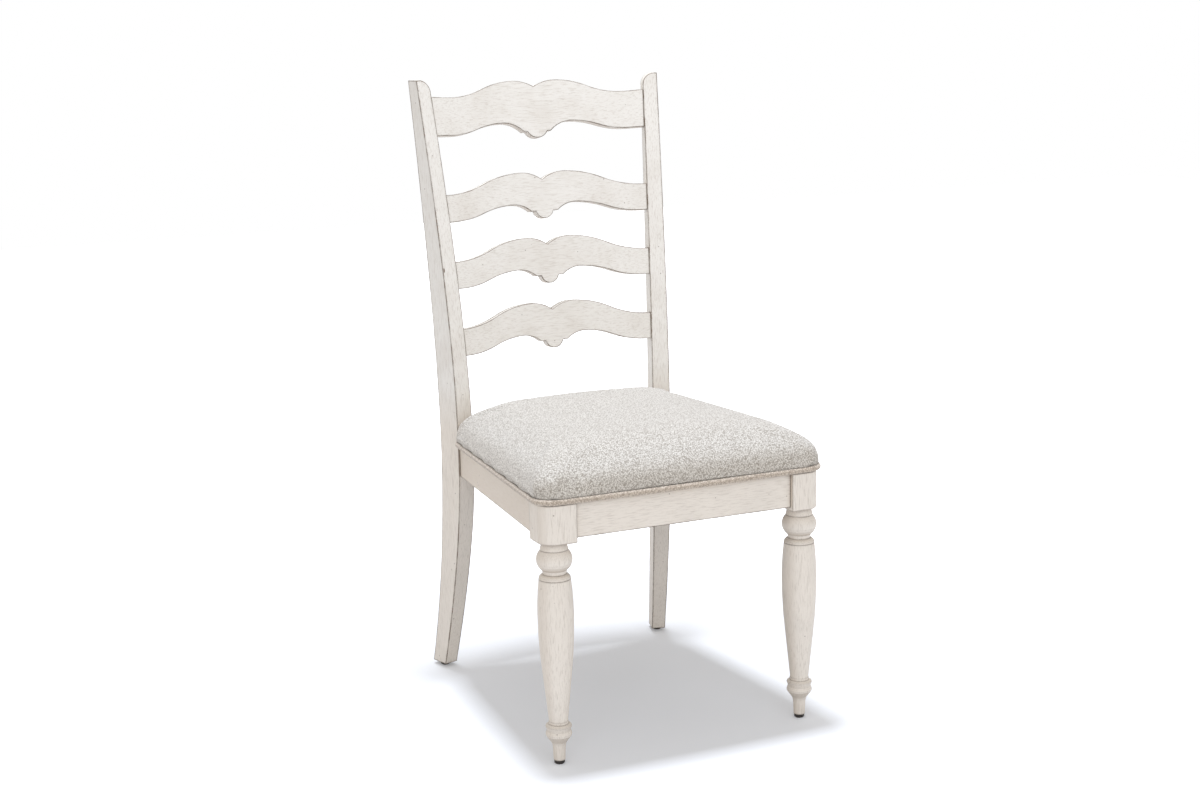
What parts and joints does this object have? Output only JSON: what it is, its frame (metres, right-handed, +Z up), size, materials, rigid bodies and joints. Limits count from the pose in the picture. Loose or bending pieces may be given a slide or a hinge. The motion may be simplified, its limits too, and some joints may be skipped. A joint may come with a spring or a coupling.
{
  "type": "ladderback chair",
  "caption": "Ladderback dining chair with turned front legs, sawn rear posts, scrolled bowed slats and a crowned upholstered seat with a welt.",
  "frame": {"origin": "on the floor, under the middle of the whole chair, at the level of the glides' undersides", "axes": "+Z up; the sitter faces -Y, so the front legs are at -Y and the back with its slats is at +Y; +X is the right-hand side as seen from the front"},
  "size_m": [0.5214, 0.6288, 1.08],
  "materials": {
    "painted_wood": "antique white paint with a brown glaze, satin",
    "bare_wood": "sawn hardwood, unfinished",
    "beech_dowel": "turned beech, unfinished",
    "plywood": "birch plywood, unfinished",
    "foam": "polyurethane foam",
    "seat_fabric": "light grey nubby weave",
    "welt_fabric": "light grey nubby weave over cord",
    "dust_cloth": "black nonwoven cloth",
    "screw_steel": "zinc plated",
    "glide_plastic": "dark brown moulded plastic"
  },
  "bodies": {
    "root": {"corner_block_front_left": "bare_wood", "corner_block_front_right": "bare_wood", "corner_block_rear_left": "bare_wood", "corner_block_rear_right": "bare_wood", "corner_block_screws": "screw_steel", "dust_cover": "dust_cloth", "front_leg_left": "painted_wood", "front_leg_right": "painted_wood", "front_rail": "painted_wood", "glide_front_left": "glide_plastic", "glide_front_right": "glide_plastic", "glide_rear_left": "glide_plastic", "glide_rear_right": "glide_plastic", "lower_slat": "painted_wood", "middle_slat": "painted_wood", "rail_dowels": "beech_dowel", "rear_post_left": "painted_wood", "rear_post_right": "painted_wood", "rear_rail": "painted_wood", "seat_board": "plywood", "seat_cover": "seat_fabric", "seat_foam": "foam", "seat_screws": "screw_steel", "seat_welt": "welt_fabric", "side_rail_left": "painted_wood", "side_rail_right": "painted_wood", "top_slat": "painted_wood", "upper_slat": "painted_wood"}
  },
  "joints": []
}
